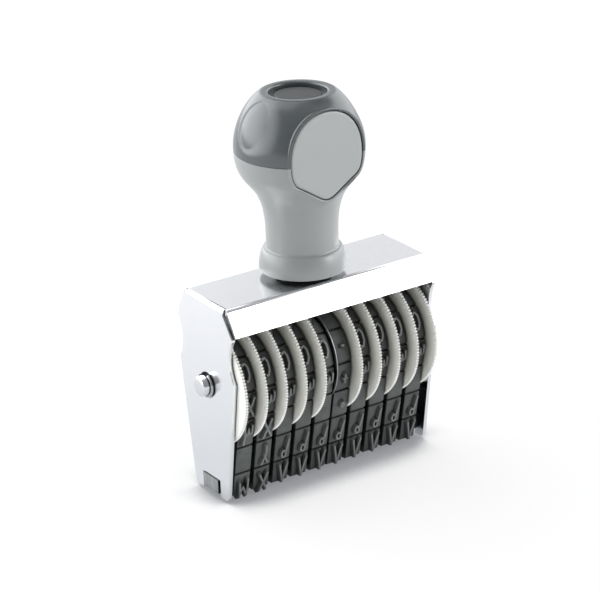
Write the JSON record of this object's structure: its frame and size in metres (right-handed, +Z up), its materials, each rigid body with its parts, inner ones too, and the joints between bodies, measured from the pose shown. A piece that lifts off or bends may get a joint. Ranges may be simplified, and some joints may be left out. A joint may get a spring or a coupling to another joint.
{
  "type": "hand numbering machine",
  "caption": "Hand-held numbering stamp: rubber type bands set by knurled thumbwheels in a bent sheet frame under an upright knob handle.",
  "frame": {"origin": "on the plane of the type faces, below the middle of the frame and of the axle", "axes": "+X along the axle to the right seen from the front, -Y towards the front with the flat of the knob, +Z up"},
  "size_m": [0.0576, 0.0274, 0.0857],
  "materials": {
    "chromed_sheet": "bright chrome plate",
    "polished_steel": "polished",
    "spring_steel": "dark, oiled",
    "cast_platen": "as cast, matt",
    "ivory_nylon": "satin, slightly translucent",
    "type_rubber": "matt",
    "light_grey_plastic": "smooth, semi-gloss",
    "dark_grey_plastic": "smooth, semi-gloss",
    "plate_plastic": "satin",
    "disc_plastic": "satin",
    "black_rubber": "matt",
    "brass": "knurled",
    "zinc_steel": "zinc plated"
  },
  "bodies": {
    "chassis": {"frame": "chromed_sheet", "axle": "polished_steel", "axle_clip_left": "spring_steel", "axle_clip_right": "spring_steel", "platen": "cast_platen", "middle_disc": "polished_steel", "type_band_01": "type_rubber", "type_band_02": "type_rubber", "type_band_03": "type_rubber", "type_band_04": "type_rubber", "type_band_05": "type_rubber", "type_band_06": "type_rubber", "type_band_07": "type_rubber", "type_band_08": "type_rubber", "type_band_09": "type_rubber", "type_band_10": "type_rubber", "handle_body": "light_grey_plastic", "handle_cap": "dark_grey_plastic", "front_plate": "plate_plastic", "top_disc": "disc_plastic", "handle_seat": "black_rubber", "handle_insert": "brass", "handle_screw": "zinc_steel", "screw_washer": "zinc_steel"},
    "wheel_01": {"thumbwheel_01": "ivory_nylon"},
    "wheel_02": {"thumbwheel_02": "ivory_nylon"},
    "wheel_03": {"thumbwheel_03": "ivory_nylon"},
    "wheel_04": {"thumbwheel_04": "ivory_nylon"},
    "wheel_05": {"thumbwheel_05": "ivory_nylon"},
    "wheel_06": {"thumbwheel_06": "ivory_nylon"},
    "wheel_07": {"thumbwheel_07": "ivory_nylon"},
    "wheel_08": {"thumbwheel_08": "ivory_nylon"},
    "wheel_09": {"thumbwheel_09": "ivory_nylon"},
    "wheel_10": {"thumbwheel_10": "ivory_nylon"}
  },
  "joints": [
    {"name": "wheel_01_turn", "type": "hinge", "parent": "chassis", "child": "wheel_01", "pos_m": [-0.02515, 0, 0.026], "axis": [1, 0, 0], "continuous": true},
    {"name": "wheel_02_turn", "type": "hinge", "parent": "chassis", "child": "wheel_02", "pos_m": [-0.02015, 0, 0.026], "axis": [1, 0, 0], "continuous": true},
    {"name": "wheel_03_turn", "type": "hinge", "parent": "chassis", "child": "wheel_03", "pos_m": [-0.01515, 0, 0.026], "axis": [1, 0, 0], "continuous": true},
    {"name": "wheel_04_turn", "type": "hinge", "parent": "chassis", "child": "wheel_04", "pos_m": [-0.01015, 0, 0.026], "axis": [1, 0, 0], "continuous": true},
    {"name": "wheel_05_turn", "type": "hinge", "parent": "chassis", "child": "wheel_05", "pos_m": [-0.00515, 0, 0.026], "axis": [1, 0, 0], "continuous": true},
    {"name": "wheel_06_turn", "type": "hinge", "parent": "chassis", "child": "wheel_06", "pos_m": [0.00435, 0, 0.026], "axis": [1, 0, 0], "continuous": true},
    {"name": "wheel_07_turn", "type": "hinge", "parent": "chassis", "child": "wheel_07", "pos_m": [0.00935, 0, 0.026], "axis": [1, 0, 0], "continuous": true},
    {"name": "wheel_08_turn", "type": "hinge", "parent": "chassis", "child": "wheel_08", "pos_m": [0.01435, 0, 0.026], "axis": [1, 0, 0], "continuous": true},
    {"name": "wheel_09_turn", "type": "hinge", "parent": "chassis", "child": "wheel_09", "pos_m": [0.01935, 0, 0.026], "axis": [1, 0, 0], "continuous": true},
    {"name": "wheel_10_turn", "type": "hinge", "parent": "chassis", "child": "wheel_10", "pos_m": [0.02435, 0, 0.026], "axis": [1, 0, 0], "continuous": true}
  ]
}
